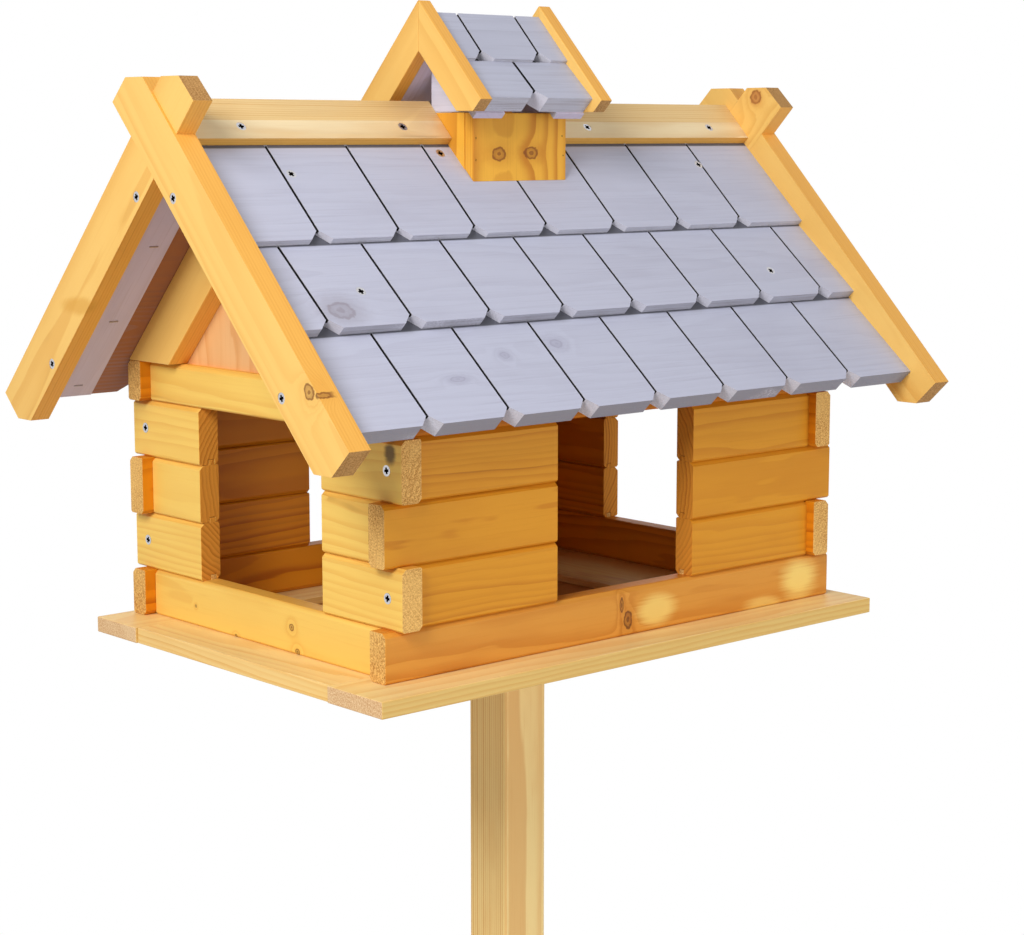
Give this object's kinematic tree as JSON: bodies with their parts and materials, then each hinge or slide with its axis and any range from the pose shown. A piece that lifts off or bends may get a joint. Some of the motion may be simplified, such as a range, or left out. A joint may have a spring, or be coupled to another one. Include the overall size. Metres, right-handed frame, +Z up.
{
  "type": "bird feeder",
  "caption": "Log cabin bird feeder on a square post with a cross foot: lapped log walls, grey shingled gable roof with crossing barge boards, chimney with a lift-off cap.",
  "frame": {"origin": "on the ground, at the centre of the footprint of the whole part, which is the middle of the roof; the post stands 5 mm to the right of it and 20 mm in front of it", "axes": "+Z up; +X along the ridge of the roof; -Y is the front long wall, the one that faces the camera on the right of the picture, and -X is the gable that it shows on the left"},
  "size_m": [0.6284, 0.4502, 1.1854],
  "materials": {
    "honey_wood": "clear honey-coloured glaze on planed spruce, satin",
    "base_boards": "paler clear glaze on planed spruce, satin",
    "floor_ply": "brown glazed plywood",
    "gable_ply": "salmon-coloured plywood, matt",
    "stand_wood": "planed square timber with a clear glaze",
    "grey_glaze": "grey-blue glaze on sawn roof boards, matt",
    "zinc": "zinc-plated screws"
  },
  "bodies": {
    "house": {"base_front_board": "base_boards", "base_back_board": "base_boards", "base_left_board": "base_boards", "base_right_board": "base_boards", "floor_panel": "floor_ply", "rail_front": "honey_wood", "rail_back": "honey_wood", "rail_left": "honey_wood", "rail_right": "honey_wood", "wall_front_left": "honey_wood", "wall_front_right": "honey_wood", "wall_back_left": "honey_wood", "wall_back_right": "honey_wood", "wall_left_front": "honey_wood", "wall_left_back": "honey_wood", "wall_right_front": "honey_wood", "wall_right_back": "honey_wood", "top_log_front": "honey_wood", "top_log_back": "honey_wood", "gable_beam_left": "honey_wood", "gable_beam_right": "honey_wood", "rafter_left_front": "honey_wood", "rafter_left_back": "honey_wood", "rafter_right_front": "honey_wood", "rafter_right_back": "honey_wood", "gable_panel_left": "gable_ply", "gable_panel_right": "gable_ply", "shingles_front_upper": "grey_glaze", "shingles_front_middle": "grey_glaze", "shingles_front_lower": "grey_glaze", "shingles_back_upper": "grey_glaze", "shingles_back_middle": "grey_glaze", "shingles_back_lower": "grey_glaze", "batten_left_front": "grey_glaze", "batten_left_back": "grey_glaze", "batten_right_front": "grey_glaze", "batten_right_back": "grey_glaze", "ridge_boards_left": "honey_wood", "ridge_boards_right": "honey_wood", "barge_left_front": "honey_wood", "barge_left_back": "honey_wood", "barge_right_front": "honey_wood", "barge_right_back": "honey_wood", "chimney_front": "honey_wood", "chimney_back": "honey_wood", "chimney_left": "honey_wood", "chimney_right": "honey_wood", "post": "stand_wood", "foot_beam_x": "stand_wood", "foot_beam_y": "stand_wood", "foot_braces": "stand_wood", "post_bearers": "stand_wood", "house_screws": "zinc"},
    "cap": {"cap_shingles_front": "grey_glaze", "cap_shingles_back": "grey_glaze", "cap_barge_left": "honey_wood", "cap_barge_right": "honey_wood", "cap_battens": "grey_glaze", "cap_blocks": "grey_glaze"}
  },
  "joints": [
    {"name": "cap_lift", "type": "slide", "parent": "house", "child": "cap", "axis": [0, 0, 1], "range_m": [0, 0.12]}
  ]
}
